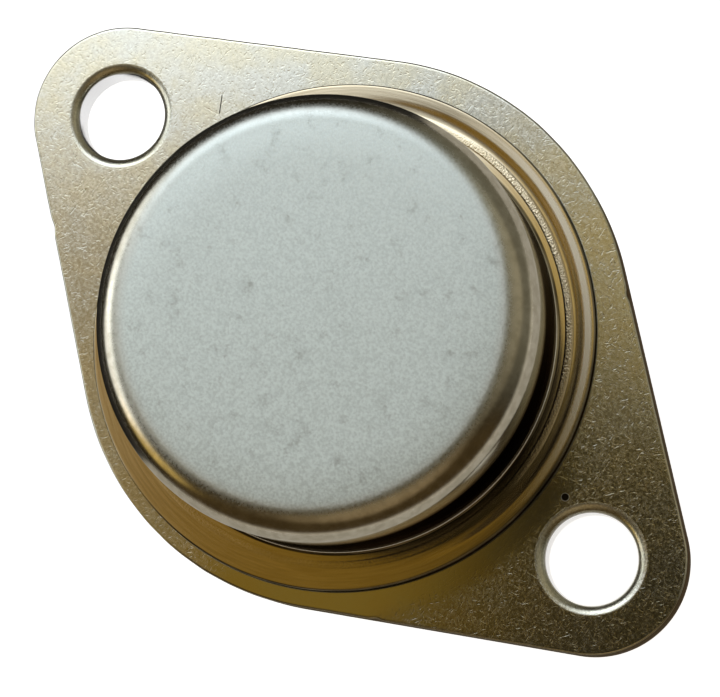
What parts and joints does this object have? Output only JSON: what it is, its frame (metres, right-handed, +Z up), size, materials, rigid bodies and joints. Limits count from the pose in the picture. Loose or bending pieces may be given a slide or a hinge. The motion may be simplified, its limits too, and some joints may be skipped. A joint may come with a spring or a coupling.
{
  "type": "power transistor",
  "caption": "Power transistor in a round welded metal can on a diamond flange with screw holes at its ends, with wire leads in glass seals below; it bolts flat to a heat sink.",
  "frame": {"origin": "middle of the seating face, half-way between the two screw holes", "axes": "+X along the line of the screw holes, towards the end that the leads sit nearer to; +Z up out of the cap, leads down"},
  "size_m": [0.0386, 0.0252, 0.0204],
  "materials": {
    "nickel_plate": "rough matte nickel plate with fine sparkle and scratches",
    "cap_plate": "nickel plate, matte on top and smooth on corner, wall and brim",
    "lead_wire": "satin plated wire",
    "seal_glass": "dark green sealing glass",
    "braze": "dull braze",
    "copper": "satin copper",
    "solder": "dull solder",
    "silicon": "polished dark silicon",
    "bond_wire": "bright aluminium wire"
  },
  "bodies": {
    "root": {"flange": "nickel_plate", "cap": "cap_plate", "emitter_lead": "lead_wire", "base_lead": "lead_wire", "emitter_seal": "seal_glass", "base_seal": "seal_glass", "spreader_braze": "braze", "heat_spreader": "copper", "die_solder": "solder", "die": "silicon", "emitter_wire_1": "bond_wire", "emitter_wire_2": "bond_wire", "base_wire": "bond_wire"}
  },
  "joints": []
}
